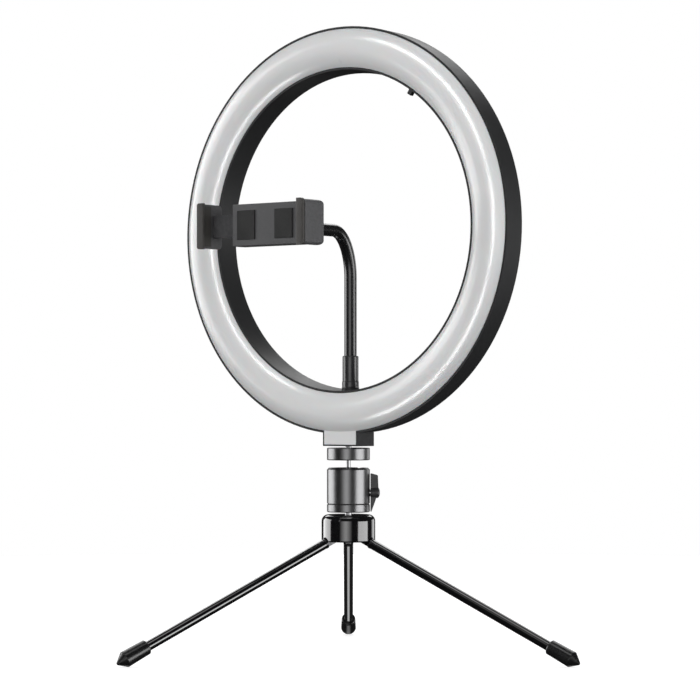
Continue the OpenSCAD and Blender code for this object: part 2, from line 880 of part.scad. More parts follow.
module head_body() {
    lip_r = sqrt(cavity_r * cavity_r - collar_lip * collar_lip);
    color("#8d8f94")
    difference() {
        rotate_extrude($fn = 96) polygon([
            [0, body_bottom],
            [head_r, body_bottom],
            [head_r, body_top - head_chamfer],
            [head_r - head_chamfer, body_top],
            [0, body_top]
        ]);
        translate([0, 0, ball_z]) sphere(r = cavity_r, $fn = 64);
        translate([0, 0, seat_top - 0.1]) cylinder(r = cavity_r + 0.05, h = ball_z - seat_top);
        translate([0, 0, body_bottom - 1])
            cylinder(r = seat_r + fit, h = seat_top - body_bottom + 1.05);
        translate([0, 0, ball_z + collar_lip])
            cylinder(r1 = lip_r, r2 = mouth_r, h = body_top - ball_z - collar_lip + eps);
        // tilt slot, at the back
        translate([-slot_half, 0, ball_z]) cube([2 * slot_half, head_r + 1, 20]);
        rod_y([0, 0, ball_z], slot_half, head_r + 1);
        along_knob() cylinder(r = knob_screw_r + fit, h = head_r + 1);
    }
}

// Plastic ring under the ball
module ball_seat() {
    color("#d8d5c8")
    difference() {
        tube_z(seat_r - fit, 3, plate_top + 0.1, seat_top - 0.15);
        translate([0, 0, ball_z]) sphere(r = cavity_r, $fn = 64);
    }
}

// Threaded plate that closes the head, with the skirt that turns in the base ring
module bottom_plate() {
    color("#6d6f73")
    union() {
        tube_z(seat_r, 3, body_bottom, plate_top);
        tube_z(skirt_out, skirt_in, skirt_bottom, body_bottom + 0.1);
    }
}

module pan_clip() {
    color("#55565a")
    difference() {
        tube_z(skirt_out + clip_w, skirt_out + seat, clip_z, clip_z + clip_t);
        box([-1.2, 5, clip_z - 1], [1.2, 15, clip_z + 2]);
    }
}

module base_ring() {
    color("#8d8f94")
    rotate_extrude($fn = 96) polygon([
        [thread_r + fit, base_bottom],
        [head_r - 0.5, base_bottom],
        [head_r, base_bottom + 0.5],
        [head_r, base_top],
        [skirt_out + seat, base_top],
        [skirt_out + seat, clip_z + clip_t + fit],
        [skirt_out + clip_w + fit, clip_z + clip_t + fit],
        [skirt_out + clip_w + fit, clip_z - fit],
        [skirt_out + seat, clip_z - fit],
        [skirt_out + seat, skirt_bottom - seat],
        [skirt_in - seat, skirt_bottom - seat],
        [skirt_in - seat, base_top],
        [thread_r + fit, base_top]
    ]);
}

// Knob outline: x is the distance out from the head, y is height above the screw
wing_outline = [
    [0.4, -12.1], [1, -12.2], [3.8, -4.5], [4.6, 0], [5.5, 3], [5.2, 10.8],
    [4.6, 11.3], [0.9, 12.3], [0.4, 12.1]
];

module lock_knob() {
    color("#2b2b2d")
    difference() {
        union() {
            rotate([0, 0, knob_angle]) translate([head_r, wing_t / 2, knob_z])
                rotate([90, 0, 0]) linear_extrude(wing_t) polygon(wing_outline);
            along_knob() translate([0, 0, head_r]) rotate_extrude() polygon([
                [0, knob_gap], [knob_hub_r, knob_gap], [knob_hub_r, 4.8],
                [3.2, 5.5], [2.2, 6.1], [1, knob_reach], [0, knob_reach]
            ]);
        }
        along_knob() cylinder(r = knob_screw_r, h = knob_screw_end);
    }
}

module knob_screw() {
    color("silver") along_knob() translate([0, 0, shoe_end + fit])
        cylinder(r = knob_screw_r, h = knob_screw_end - shoe_end - fit);
}

module brake_shoe() {
    color("#d8d5c8")
    difference() {
        along_knob() translate([0, 0, shoe_start]) cylinder(r = shoe_r, h = shoe_end - shoe_start);
        translate([0, 0, ball_z]) sphere(r = ball_r + fit, $fn = 64);
    }
}

// ---------------------------------------------------------------- tripod

// Puts a leg piece at compass angle az: x runs along the open leg from its pivot
module at_leg(az) {
    rotate([0, 0, az]) translate([pivot_r, 0, pivot_z]) rotate([0, leg_slope, 0]) children();
}

// A cylinder along the leg from s0 to s1
module leg_rod(s0, s1, r, r2 = -1) {
    translate([s0, 0, 0]) rotate([0, 90, 0])
        cylinder(r1 = r, r2 = r2 < 0 ? r : r2, h = s1 - s0);
}

module hub_cap() {
    color("#161618")
    difference() {
        rotate_extrude($fn = 96) polygon([
            [thread_r + fit, hub_cavity_top],
            [hub_cavity_r, hub_cavity_top],
            [hub_cavity_r, hub_bottom],
            [hub_r - hub_chamfer, hub_bottom],
            [hub_r, hub_bottom + hub_chamfer],
            for (a = [0 : 15 : 90])
                [hub_r - hub_round + hub_round * cos(a), hub_top - hub_round + hub_round * sin(a)],
            [thread_r + fit, hub_top]
        ]);
        for (az = [back_az, left_az, right_az])
            at_leg(az) leg_rod(3, 20, leg_notch_r);
        for (az = [back_az, left_az, right_az])
            rotate([0, 0, az + 60]) translate([yoke_screw_at, 0, hub_cavity_top - 1])
                cylinder(r = 1.05, h = 4.5);
    }
}

module hub_stud() {
    color("silver")
    union() {
        translate([0, 0, yoke_top + 0.1]) cylinder(r = 5.6, h = hub_cavity_top - yoke_top - 0.1, $fn = 6);
        translate([0, 0, hub_cavity_top - 0.1]) cylinder(r = thread_r, h = hub_top - hub_cavity_top - 0.2);
        translate([0, 0, hub_top - 0.4]) cylinder(r = neck_r, h = base_bottom - hub_top + 0.8);
        translate([0, 0, base_bottom + 0.3]) cylinder(r = thread_r, h = base_top - base_bottom - 0.5);
    }
}

module leg_yoke() {
    ear_in = tongue_t / 2 + 0.2;
    ear_t = 2;
    ear_bottom = hub_bottom + 0.2;
    color("#3a3a3d")
    difference() {
        union() {
            translate([0, 0, yoke_top - yoke_t]) cylinder(r = yoke_r, h = yoke_t, $fn = 96);
            for (az = [back_az, left_az, right_az])
                rotate([0, 0, az])
                    for (side = [-1, 1])
                        translate([pivot_r - 2.6, side > 0 ? ear_in : -ear_in - ear_t, ear_bottom])
                            cube([5.2, ear_t, yoke_top - ear_bottom - 0.5]);
        }
        for (az = [back_az, left_az, right_az]) {
            at_leg(az) rotate([90, 0, 0]) cylinder(r = pin_r + fit, h = 20, center = true);
            rotate([0, 0, az + 60]) translate([yoke_screw_at, 0, yoke_top - 10])
                cylinder(r = 1.15, h = 12);
        }
    }
}

module yoke_screws() {
    color("silver")
    for (az = [back_az, left_az, right_az])
        rotate([0, 0, az + 60]) translate([yoke_screw_at, 0, 0])
            difference() {
                union() {
                    translate([0, 0, yoke_top - yoke_t - 1.3]) cylinder(r = 2, h = 1.3);
                    translate([0, 0, yoke_top - yoke_t - 0.1]) cylinder(r = 1, h = yoke_t + 6.1);
                }
                for (turn = [0, 90])
                    translate([0, 0, yoke_top - yoke_t - 1.3]) rotate([0, 0, turn])
                        cube([2.2, 0.5, 1], center = true);
            }
}

module leg_tube(az) {
    color("#131315")
    at_leg(az) difference() {
        leg_rod(collar_at + collar_len, leg_len - foot_floor, leg_d / 2);
        leg_rod(collar_at + collar_len - 1, leg_len, leg_d / 2 - tube_wall);
    }
}

module leg_tongue(az) {
    color("#a9abaf")
    at_leg(az) difference() {
        union() {
            intersection() {
                union() {
                    rotate([90, 0, 0]) cylinder(r = tongue_h / 2, h = 20, center = true);
                    translate([0, -5, -tongue_h / 2]) cube([collar_at + 0.1, 10, tongue_h]);
                }
                translate([-5, -tongue_t / 2, -5]) cube([collar_at + 6, tongue_t, 10]);
            }
            leg_rod(collar_at, collar_at + collar_len, collar_r);
            leg_rod(collar_at + collar_len - 0.1, collar_at + collar_len + 9, leg_d / 2 - tube_wall);
        }
        rotate([90, 0, 0]) cylinder(r = pin_r + fit, h = 20, center = true);
    }
}

module leg_pin(az) {
    color("silver")
    at_leg(az) rotate([90, 0, 0]) cylinder(r = pin_r, h = tongue_t + 4.4, center = true);
}

module foot(az) {
    barrel_start = leg_len - foot_barrel;
    color("#1f1f21")
    at_leg(az) difference() {
        rotate([0, 90, 0]) rotate_extrude() polygon([
            [0, barrel_start],
            [foot_start_r - 0.6, barrel_start],
            [foot_start_r, barrel_start + 0.6],
            [foot_end_r, leg_len],
            [foot_nose_r, leg_len + foot_nose - 0.8],
            [foot_nose_r * 0.7, leg_len + foot_nose - 0.25],
            [0, leg_len + foot_nose]
        ]);
        leg_rod(barrel_start - 1, leg_len - foot_floor, leg_d / 2);
    }
}

module leg_tube_back() { leg_tube(back_az); }
module leg_tube_left() { leg_tube(left_az); }
module leg_tube_right() { leg_tube(right_az); }
module leg_tongue_back() { leg_tongue(back_az); }
module leg_tongue_left() { leg_tongue(left_az); }
module leg_tongue_right() { leg_tongue(right_az); }
module leg_pin_back() { leg_pin(back_az); }
module leg_pin_left() { leg_pin(left_az); }
module leg_pin_right() { leg_pin(right_az); }
module foot_back() { foot(back_az); }
module foot_left() { foot(left_az); }
module foot_right() { foot(right_az); }

rear_housing();
diffuser();
led_board();
warm_leds();
white_leds();
board_screws();
back_screws();
lamp_insert();
neck_insert();
cable_gland();
lead_wires();
lower_ferrule();
gooseneck_1();
gooseneck_2();
gooseneck_3();
gooseneck_4();
gooseneck_5();
gooseneck_6();
gooseneck_7();
upper_ferrule();
ball_nut();
clamp_body();
clamp_cover();
cover_screws();
sliding_jaw();
jaw_springs();
fixed_jaw_pad();
sliding_jaw_pad();
rest_pad();
ball_stem();
lock_wheel();
friction_washer();
head_body();
ball_seat();
bottom_plate();
pan_clip();
base_ring();
lock_knob();
knob_screw();
brake_shoe();
hub_cap();
hub_stud();
leg_yoke();
yoke_screws();
leg_tube_back();
leg_tube_left();
leg_tube_right();
leg_tongue_back();
leg_tongue_left();
leg_tongue_right();
leg_pin_back();
leg_pin_left();
leg_pin_right();
foot_back();
foot_left();
foot_right();
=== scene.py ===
"""Looks of a tabletop ring light: a round lamp on a ball head and a folding tripod,
with a phone clamp on a gooseneck in the middle of the ring. Every piece is placed from
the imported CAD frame, in metres."""
import json
import math

import bmesh
import bpy
from mathutils import Matrix, Vector
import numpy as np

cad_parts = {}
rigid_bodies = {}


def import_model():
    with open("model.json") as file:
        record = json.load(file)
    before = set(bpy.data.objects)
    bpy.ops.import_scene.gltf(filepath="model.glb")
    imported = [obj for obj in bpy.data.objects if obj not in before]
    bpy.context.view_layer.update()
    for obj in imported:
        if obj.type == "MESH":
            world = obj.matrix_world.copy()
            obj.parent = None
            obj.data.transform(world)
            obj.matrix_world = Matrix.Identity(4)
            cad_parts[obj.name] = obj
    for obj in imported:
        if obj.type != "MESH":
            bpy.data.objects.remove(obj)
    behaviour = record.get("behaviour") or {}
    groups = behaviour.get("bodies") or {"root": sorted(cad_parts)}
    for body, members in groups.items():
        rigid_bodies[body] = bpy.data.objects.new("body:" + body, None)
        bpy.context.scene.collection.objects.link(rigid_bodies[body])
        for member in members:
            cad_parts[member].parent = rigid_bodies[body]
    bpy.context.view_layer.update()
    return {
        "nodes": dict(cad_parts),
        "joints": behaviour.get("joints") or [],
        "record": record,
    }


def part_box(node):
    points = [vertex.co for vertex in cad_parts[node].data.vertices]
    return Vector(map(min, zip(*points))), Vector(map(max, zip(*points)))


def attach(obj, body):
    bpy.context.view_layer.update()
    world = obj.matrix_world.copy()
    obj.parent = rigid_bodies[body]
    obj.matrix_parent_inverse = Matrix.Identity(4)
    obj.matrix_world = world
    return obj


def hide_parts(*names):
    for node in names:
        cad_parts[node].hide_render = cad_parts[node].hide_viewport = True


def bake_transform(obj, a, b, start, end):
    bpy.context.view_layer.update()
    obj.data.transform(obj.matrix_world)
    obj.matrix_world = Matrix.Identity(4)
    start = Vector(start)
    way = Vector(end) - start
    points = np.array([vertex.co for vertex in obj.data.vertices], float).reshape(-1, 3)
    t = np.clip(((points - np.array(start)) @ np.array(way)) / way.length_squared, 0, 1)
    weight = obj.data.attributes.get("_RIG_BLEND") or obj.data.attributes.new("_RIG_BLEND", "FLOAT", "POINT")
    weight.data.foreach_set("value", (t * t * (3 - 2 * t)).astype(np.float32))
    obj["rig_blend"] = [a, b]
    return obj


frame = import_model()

MM = 0.001

# Camera: level, at the height of the bottom of the ring, facing the tripod's axis
CAMERA_AT = (1.0848, -1.3796, 0.1636)
CAMERA_YAW = 38.145
CAMERA_LENS = 140.8
CAMERA_SHIFT_Y = 0.0714
CAMERA_NEAR = 0.02

# Finishes
IOR = 1.5
MOTTLE_SCALE = 45.0        # colour drift
SMUDGE_SCALE = 70.0        # uneven gloss
GRAIN_DEPTH = 0.00002      # m
RUB_SCALE = 420.0          # breaks up the rubbed edges
TURNED_SCALE = 2600.0      # fine lathe lines
TURNED_STRETCH = 0.004     # how little they change round the axis
TURNED_STRENGTH = 0.06
TURNED_DEPTH = 0.000012    # m
MILK_DEPTH = 0.004         # m, how far light spreads inside milky plastic

# Meshes
SHARP = math.radians(38)   # edges sharper than this are shaded as edges
BEVEL_FROM = math.radians(30)     # and those sharper than this are rounded
FLAT_WITHIN = math.radians(0.4)
MERGE_WITHIN = 0.000002    # m
ROUND_SIDES = 96           # of the dark ring that paints the shade in the pan gap, and of the floor

# Gooseneck, in mm
NECK_SIDES = 40
NECK_RING_STEP = 1.0       # between the rings of a sleeve
NECK_IN_FERRULE = (5, 4)   # how far it goes into the lower and the upper ferrule
BEND_DEPTH = 18.0          # its elliptical bend
BEND_HEIGHT = 30.0
BEND_STEPS = 90
BLEND_REACH = 8            # a sleeve's bend runs this far to each side of its hinge

# Dark ring in the pan gap, which paints the shade there, in mm
GAP_SHADE_CLEARANCE = 0.08          # to the metal above and below it
GAP_SHADE_INSET = 0.45
GAP_SHADE_WIDTH = 4.2


def span(node):
    """Lowest and highest corner of a CAD node at rest, in millimetres."""
    low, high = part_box(node)
    return low / MM, high / MM


def middle(node):
    """Middle of a CAD node's box at rest, in millimetres."""
    low, high = span(node)
    return (low + high) / 2


# ---------------------------------------------------------------- node helpers

class Nodes:
    """A material or world tree, with short calls that add a node and link its inputs."""

    def __init__(self, tree):
        self.tree = tree

    def add(self, kind, settings=None, **inputs):
        node = self.tree.nodes.new(kind)
        for key, value in (settings or {}).items():
            setattr(node, key, value)
        for key, value in inputs.items():
            self.feed(node, key, value)
        return node

    def feed(self, node, key, value):
        name = key.replace("_", " ")
        socket = node.inputs[int(key[1:])] if key[1:].isdigit() else node.inputs[name]
        if isinstance(value, bpy.types.NodeSocket):
            self.tree.links.new(value, socket)
        else:
            socket.default_value = value

    def math(self, operation, a, b=0.0, clamp=False):
        settings = {"operation": operation, "use_clamp": clamp}
        return self.add("ShaderNodeMath", settings, i0=a, i1=b).outputs[0]

    def noise(self, vector, scale, detail=3.0, rough=0.5):
        node = self.add("ShaderNodeTexNoise", None, Vector=vector, Scale=scale,
                        Detail=detail, Roughness=rough)
        return node.outputs[0]

    def remap(self, value, low, high, to_low, to_high):
        node = self.add("ShaderNodeMapRange", {"clamp": True}, i0=value, i1=low, i2=high,
                        i3=to_low, i4=to_high)
        return node.outputs[0]

    def mix(self, factor, a, b):
        node = self.tree.nodes.new("ShaderNodeMix")
        node.data_type = "RGBA"
        self.tree.links.new(factor, node.inputs[0])
        for index, value in ((6, a), (7, b)):
            if isinstance(value, bpy.types.NodeSocket):
                self.tree.links.new(value, node.inputs[index])
            else:
                node.inputs[index].default_value = value
        return node.outputs[2]


def shade(colour, factor):
    """A lighter or darker version of a colour."""
    return tuple(min(1.0, c * factor) for c in colour[:3]) + (1.0,)


def turned_lines(n, coord):
    """Vector that makes noise run in fine rings round the tripod's vertical axis."""
    x, y, z = n.add("ShaderNodeSeparateXYZ", None, Vector=coord).outputs
    radius = n.math("SQRT", n.math("ADD", n.math("MULTIPLY", x, x), n.math("MULTIPLY", y, y)))
    angle = n.math("MULTIPLY", n.math("ARCTAN2", y, x), TURNED_STRETCH)
    return n.add("ShaderNodeCombineXYZ", None, X=angle, Y=z, Z=radius).outputs[0]


def finish(name, colour, rough, metallic=0.0, coat=0.0, coat_rough=0.08, specular=0.5,
           mottle=0.05, rough_spread=0.06, grain=0.0, grain_scale=2600.0, wear=0.0,
           wear_colour=None, turned=False, sheen=0.0, subsurface=0.0):
    """A procedural finish: colour drift, smudged roughness, a fine surface grain, lathe
    lines on turned metal, and rubbed edges."""
    made = bpy.data.materials.new(name)
    made.use_nodes = True
    tree = made.node_tree
    tree.nodes.clear()
    n = Nodes(tree)
    coord = n.add("ShaderNodeTexCoord").outputs["Object"]
    shader = n.add("ShaderNodeBsdfPrincipled")
    output = n.add("ShaderNodeOutputMaterial")
    tree.links.new(shader.outputs[0], output.inputs[0])

    drift = n.noise(coord, MOTTLE_SCALE, 4.0, 0.55)
    base = n.mix(n.remap(drift, 0.3, 0.7, 0.0, 1.0), shade(colour, 1 - mottle),
                 shade(colour, 1 + mottle))
    smudge = n.noise(coord, SMUDGE_SCALE, 5.0, 0.62)
    roughness = n.remap(smudge, 0.3, 0.72, max(0.02, rough - rough_spread), rough + rough_spread)
    if wear:
        pointed = n.add("ShaderNodeNewGeometry").outputs["Pointiness"]
        edge = n.remap(pointed, 0.505, 0.56, 0.0, 1.0)
        broken = n.remap(n.noise(coord, RUB_SCALE, 3.0), 0.38, 0.62, 0.25, 1.0)
        rubbed = n.math("MULTIPLY", n.math("MULTIPLY", edge, broken), wear, clamp=True)
        base = n.mix(rubbed, base, wear_colour)
        roughness = n.math("ADD", roughness, n.math("MULTIPLY", rubbed, 0.08))
    tree.links.new(base, shader.inputs["Base Color"])

    height = None
    if turned:
        lines = n.noise(turned_lines(n, coord), TURNED_SCALE, 2.0)
        roughness = n.math("ADD", roughness, n.remap(lines, 0.35, 0.7, -0.015, 0.02))
        height = n.add("ShaderNodeBump", None, Strength=TURNED_STRENGTH, Distance=TURNED_DEPTH,
                       Height=lines)
    if grain:
        pores = n.noise(coord, grain_scale, 2.5, 0.6)
        bump = n.add("ShaderNodeBump", None, Strength=grain, Distance=GRAIN_DEPTH, Height=pores)
        if height is not None:
            tree.links.new(height.outputs[0], bump.inputs["Normal"])
        height = bump
    tree.links.new(roughness, shader.inputs["Roughness"])
    if height is not None:
        tree.links.new(height.outputs[0], shader.inputs["Normal"])
    for socket, value in (("Metallic", metallic), ("Coat Weight", coat), ("IOR", IOR),
                          ("Coat Roughness", coat_rough), ("Specular IOR Level", specular),
                          ("Sheen Weight", sheen), ("Subsurface Weight", subsurface)):
        shader.inputs[socket].default_value = value
    if subsurface:
        shader.inputs["Subsurface Scale"].default_value = MILK_DEPTH
    return made


# ---------------------------------------------------------------- mesh helpers

def new_object(name, data):
    """Adds an object with the given mesh, light or camera to the scene."""
    made = bpy.data.objects.new(name, data)
    bpy.context.scene.collection.objects.link(made)
    return made


def settle(piece):
    """Applies a piece's modifiers to its mesh."""
    graph = bpy.context.evaluated_depsgraph_get()
    mesh = bpy.data.meshes.new_from_object(piece.evaluated_get(graph))
    piece.modifiers.clear()
    piece.data = mesh
    return piece


def soften(piece, width, steps=3):
    """Joins the triangles of flat faces, rounds edges to width mm and shades the piece."""
    mesh = piece.data
    form = bmesh.new()
    form.from_mesh(mesh)
    bmesh.ops.remove_doubles(form, verts=form.verts, dist=MERGE_WITHIN)
    bmesh.ops.dissolve_limit(form, angle_limit=FLAT_WITHIN, verts=form.verts,
                             edges=form.edges, delimit={"NORMAL"})
    form.to_mesh(mesh)
    form.free()
    if width:
        bevel = piece.modifiers.new("edges", "BEVEL")
        bevel.width = width * MM
        bevel.segments = steps
        bevel.limit_method = "ANGLE"
        bevel.angle_limit = BEVEL_FROM
        bevel.use_clamp_overlap = True
        bevel.miter_outer = "MITER_ARC"
        settle(piece)
    smooth(piece)
    return piece


def smooth(piece):
    """Smooth shading that leaves sharp edges and keeps flat faces flat."""
    mesh = piece.data
    mesh.shade_smooth()
    mesh.set_sharp_from_angle(angle=SHARP)
    weighted = piece.modifiers.new("shading", "WEIGHTED_NORMAL")
    weighted.keep_sharp = True
    weighted.weight = 80
    settle(piece)


def copy_of(node, name):
    """A free copy of a CAD node's mesh, for shaping."""
    mesh = frame["nodes"][node].data.copy()
    mesh.materials.clear()
    for key in [a.name for a in mesh.attributes if a.name == "custom_normal"]:
        mesh.attributes.remove(mesh.attributes[key])
    return new_object(name, mesh)


def place(piece, body, look, slot, *nodes):
    """Gives a piece its finish, the body it moves with and the CAD nodes it stands for."""
    piece.data.materials.clear()
    piece.data.materials.append(look)
    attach(piece, body)
    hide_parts(*nodes)
    return piece


def body_of(node):
    """The moving body that the record puts a CAD node in."""
    groups = frame["record"]["behaviour"]["bodies"]
    return next(body for body, members in groups.items() if node in members)


SLOT_OF = {part["node"]: part["material_slot"] for part in frame["record"]["subparts"]}


def refined(node, name, look, width, steps=3):
    """A CAD node's shape with rounded edges and a finish, standing for the node."""
    piece = soften(copy_of(node, name), width, steps)
    return place(piece, body_of(node), look, SLOT_OF[node], node)


def refinish(look, *nodes):
    """Gives CAD nodes that keep their shape a finish."""
    for node in nodes:
        mesh = frame["nodes"][node].data
        mesh.materials.clear()
        mesh.materials.append(look)


# ---------------------------------------------------------------- finishes

LOOKS = {
    "housing": finish("housing_plastic", (0.019, 0.0193, 0.02), 0.42, specular=0.18, grain=0.25,
                      wear=0.2, wear_colour=(0.06, 0.06, 0.063, 1), rough_spread=0.04),
    "diffuser": finish("diffuser_milk", (0.62, 0.622, 0.625), 0.3, coat=0.35, coat_rough=0.15,
                       specular=0.3, mottle=0.012, rough_spread=0.03, grain=0.04,
                       grain_scale=900.0, subsurface=0.12),
    "board": finish("solder_mask", (0.78, 0.78, 0.75), 0.35, grain=0.2),
    "led_warm": finish("warm_phosphor", (0.85, 0.56, 0.16), 0.3, coat=0.6),
    "led_white": finish("pale_phosphor", (0.88, 0.85, 0.62), 0.3, coat=0.6),
    "screw": finish("zinc_steel", (0.52, 0.52, 0.54), 0.28, metallic=1.0, grain=0.25, wear=0.2,
                    wear_colour=(0.75, 0.75, 0.76, 1)),
    "dark_screw": finish("black_steel", (0.05, 0.05, 0.053), 0.33, metallic=0.9, grain=0.25,
                         wear=0.6, wear_colour=(0.3, 0.3, 0.31, 1)),
    "insert": finish("brass", (0.62, 0.44, 0.17), 0.26, metallic=1.0, turned=True),
    "gland": finish("gland_rubber", (0.012, 0.012, 0.012), 0.6, grain=0.5, sheen=0.1),
    "lead": finish("lead_insulation", (0.42, 0.025, 0.02), 0.4, mottle=0.04),
    "ferrule": finish("ferrule_black", (0.012, 0.012, 0.013), 0.3, coat=0.3, coat_rough=0.2,
                      grain=0.2, wear=0.35, wear_colour=(0.12, 0.12, 0.125, 1)),
    "neck": finish("neck_sleeve", (0.0075, 0.0075, 0.008), 0.25, coat=0.35, coat_rough=0.16,
                   grain=0.03, grain_scale=900.0, rough_spread=0.02),
    "clamp": finish("clamp_plastic", (0.052, 0.052, 0.0545), 0.46, specular=0.35, grain=0.5,
                    grain_scale=2200.0, mottle=0.03, wear=0.3, wear_colour=(0.11, 0.11, 0.113, 1)),
    "pad": finish("jaw_rubber", (0.034, 0.0318, 0.0298), 0.55, specular=0.35, grain=0.5,
                  grain_scale=1800.0, wear=0.25, wear_colour=(0.06, 0.057, 0.054, 1)),
    "rest_pad": finish("rest_rubber", (0.016, 0.016, 0.016), 0.66, specular=0.3, grain=0.6),
    "spring": finish("spring_steel", (0.5, 0.5, 0.52), 0.24, metallic=1.0, grain=0.1),
    "head_metal": finish("gunmetal", (0.166, 0.166, 0.169), 0.31, metallic=1.0, turned=True,
                         rough_spread=0.012, mottle=0.015, wear=0.1,
                         wear_colour=(0.26, 0.26, 0.27, 1)),
    "stem_metal": finish("polished_steel", (0.26, 0.26, 0.265), 0.12, metallic=1.0,
                         turned=True, rough_spread=0.03),
    "nylon": finish("nylon", (0.66, 0.63, 0.54), 0.42, grain=0.2, subsurface=0.1),
    "knob": finish("knob_plastic", (0.014, 0.014, 0.015), 0.36, specular=0.5, grain=0.4, wear=0.3,
                   wear_colour=(0.07, 0.07, 0.072, 1)),
    "hub": finish("hub_gloss", (0.002, 0.002, 0.0023), 0.12, coat=1.0, coat_rough=0.03,
                  rough_spread=0.02, grain=0.04, grain_scale=500.0, wear=0.15,
                  wear_colour=(0.06, 0.06, 0.062, 1)),
    "yoke": finish("yoke_black", (0.02, 0.02, 0.021), 0.4, grain=0.3),
    "leg": finish("leg_gloss", (0.002, 0.002, 0.0023), 0.12, coat=1.0, coat_rough=0.04,
                  specular=0.8, rough_spread=0.02, grain=0.04, grain_scale=600.0),
    "tongue": finish("blacked_steel", (0.03, 0.03, 0.031), 0.22, metallic=1.0, grain=0.1,
                     wear=0.4, wear_colour=(0.3, 0.3, 0.31, 1)),
    "foot": finish("foot_rubber", (0.005, 0.005, 0.0053), 0.27, specular=0.6, grain=0.3,
                   grain_scale=1600.0, wear=0.3, wear_colour=(0.05, 0.05, 0.05, 1)),
}

# ---------------------------------------------------------------- lamp

refined("rear_housing", "ring_housing", LOOKS["housing"], 0.3)
refined("diffuser", "ring_diffuser", LOOKS["diffuser"], 0.3)
refined("cable_gland", "cord_gland", LOOKS["gland"], 0.25)
refinish(LOOKS["board"], "led_board")
refinish(LOOKS["led_warm"], "warm_leds")
refinish(LOOKS["led_white"], "white_leds")
refinish(LOOKS["screw"], "board_screws")
refinish(LOOKS["dark_screw"], "back_screws")
refinish(LOOKS["insert"], "lamp_insert", "neck_insert")
refinish(LOOKS["lead"], "lead_wires")

# ---------------------------------------------------------------- gooseneck

joints = {joint["name"]: joint for joint in frame["joints"]}
neck_joints = [joints[f"neck_bend_{k}"] for k in range(1, 7)]
neck_y = middle("lower_ferrule").y
neck_bottom = span("lower_ferrule")[1].z
clamp_z = middle("upper_ferrule").z
neck_end_y = span("upper_ferrule")[1].y
neck_r = span("gooseneck_1")[1].x


def neck_line():
    """Points up the middle of the gooseneck and round its bend, in mm."""
    points = []
    start = neck_bottom - NECK_IN_FERRULE[0]
    bend_start = clamp_z - BEND_HEIGHT
    steps = round((bend_start - start) / NECK_RING_STEP)
    for i in range(steps):
        points.append(Vector((0, neck_y, start + (bend_start - start) * i / steps)))
    for i in range(BEND_STEPS + 1):
        angle = math.pi / 2 * i / BEND_STEPS
        points.append(Vector((0, neck_y - BEND_DEPTH * (1 - math.cos(angle)),
                              bend_start + BEND_HEIGHT * math.sin(angle))))
    level_start = neck_y - BEND_DEPTH
    level_end = neck_end_y - NECK_IN_FERRULE[1]
    steps = round((level_start - level_end) / NECK_RING_STEP)
    for i in range(1, steps + 1):
        points.append(Vector((0, level_start + (level_end - level_start) * i / steps, clamp_z)))
    return points


def tube(name, points, headings, radius, sides):
    """A closed tube whose rings are square to the given headings, which have no x."""
    mesh = bpy.data.meshes.new(name)
    form = bmesh.new()
    rings = []
    across = Vector((1, 0, 0))
    for point, heading in zip(points, headings):
        up = heading.cross(across)
        ring = []
        for i in range(sides):
            angle = 2 * math.pi * i / sides
            spoke = math.cos(angle) * across + math.sin(angle) * up
            ring.append(form.verts.new((point + radius * spoke) * MM))
        rings.append(ring)
    for low, high in zip(rings, rings[1:]):
        for i in range(sides):
            j = (i + 1) % sides
            form.faces.new((low[i], low[j], high[j], high[i]))
    form.faces.new(reversed(rings[0]))
    form.faces.new(rings[-1])
    bmesh.ops.recalc_face_normals(form, faces=form.faces)
    form.to_mesh(mesh)
    form.free()
    mesh.shade_smooth()
    mesh.set_sharp_from_angle(angle=SHARP)
    return new_object(name, mesh)


def nearest(points, target):
    """Place in the list of the point that lies closest to target."""
    return min(range(len(points)), key=lambda i: (points[i] - target).length)


def build_neck():
    """One sleeve across each hinge, cut half way between hinges, where both are rigid."""
    line = neck_line()
    headings = [(line[min(i + 1, len(line) - 1)] - line[max(i - 1, 0)]).normalized()
                for i in range(len(line))]
    at = [nearest(line, Vector(joint["pos_m"]) / MM) for joint in neck_joints]
    cuts = [0] + [(a + b) // 2 for a, b in zip(at, at[1:])] + [len(line) - 1]
    for k, joint in enumerate(neck_joints):
        first, last = cuts[k], cuts[k + 1]
        sleeve = tube(f"neck_sleeve_{k + 1}", line[first:last + 1], headings[first:last + 1],
                      neck_r, NECK_SIDES)
        sleeve.data.materials.append(LOOKS["neck"])
        pivot = Vector(joint["pos_m"])
        bend = headings[at[k]] * BLEND_REACH * MM
        nodes = [f"gooseneck_{k + 1}"]
        if joint is neck_joints[-1]:
            # Named from the far end. The shape is the same, but in the order that the other
            # sleeves use, rounding in the blend's pivot tore this one at all_max.
            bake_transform(sleeve, joint["child"], joint["parent"], start=pivot + bend, end=pivot - bend)
            nodes.append("gooseneck_7")
        else:
            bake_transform(sleeve, joint["parent"], joint["child"], start=pivot - bend, end=pivot + bend)
        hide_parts(*nodes)


build_neck()
refined("lower_ferrule", "neck_ferrule", LOOKS["ferrule"], 0.35)
refined("upper_ferrule", "ball_ferrule", LOOKS["ferrule"], 0.35)

# ---------------------------------------------------------------- phone clamp

refined("ball_nut", "clamp_nut", LOOKS["knob"], 0.35)
refined("clamp_body", "clamp_case", LOOKS["clamp"], 0.5)
refined("clamp_cover", "clamp_back", LOOKS["clamp"], 0.4)
refined("sliding_jaw", "left_jaw", LOOKS["clamp"], 0.5)
refined("fixed_jaw_pad", "right_jaw_pad", LOOKS["pad"], 0.4)
refined("sliding_jaw_pad", "left_jaw_pad", LOOKS["pad"], 0.4)
refined("rest_pad", "phone_rest", LOOKS["rest_pad"], 0.2)
refinish(LOOKS["dark_screw"], "cover_screws")


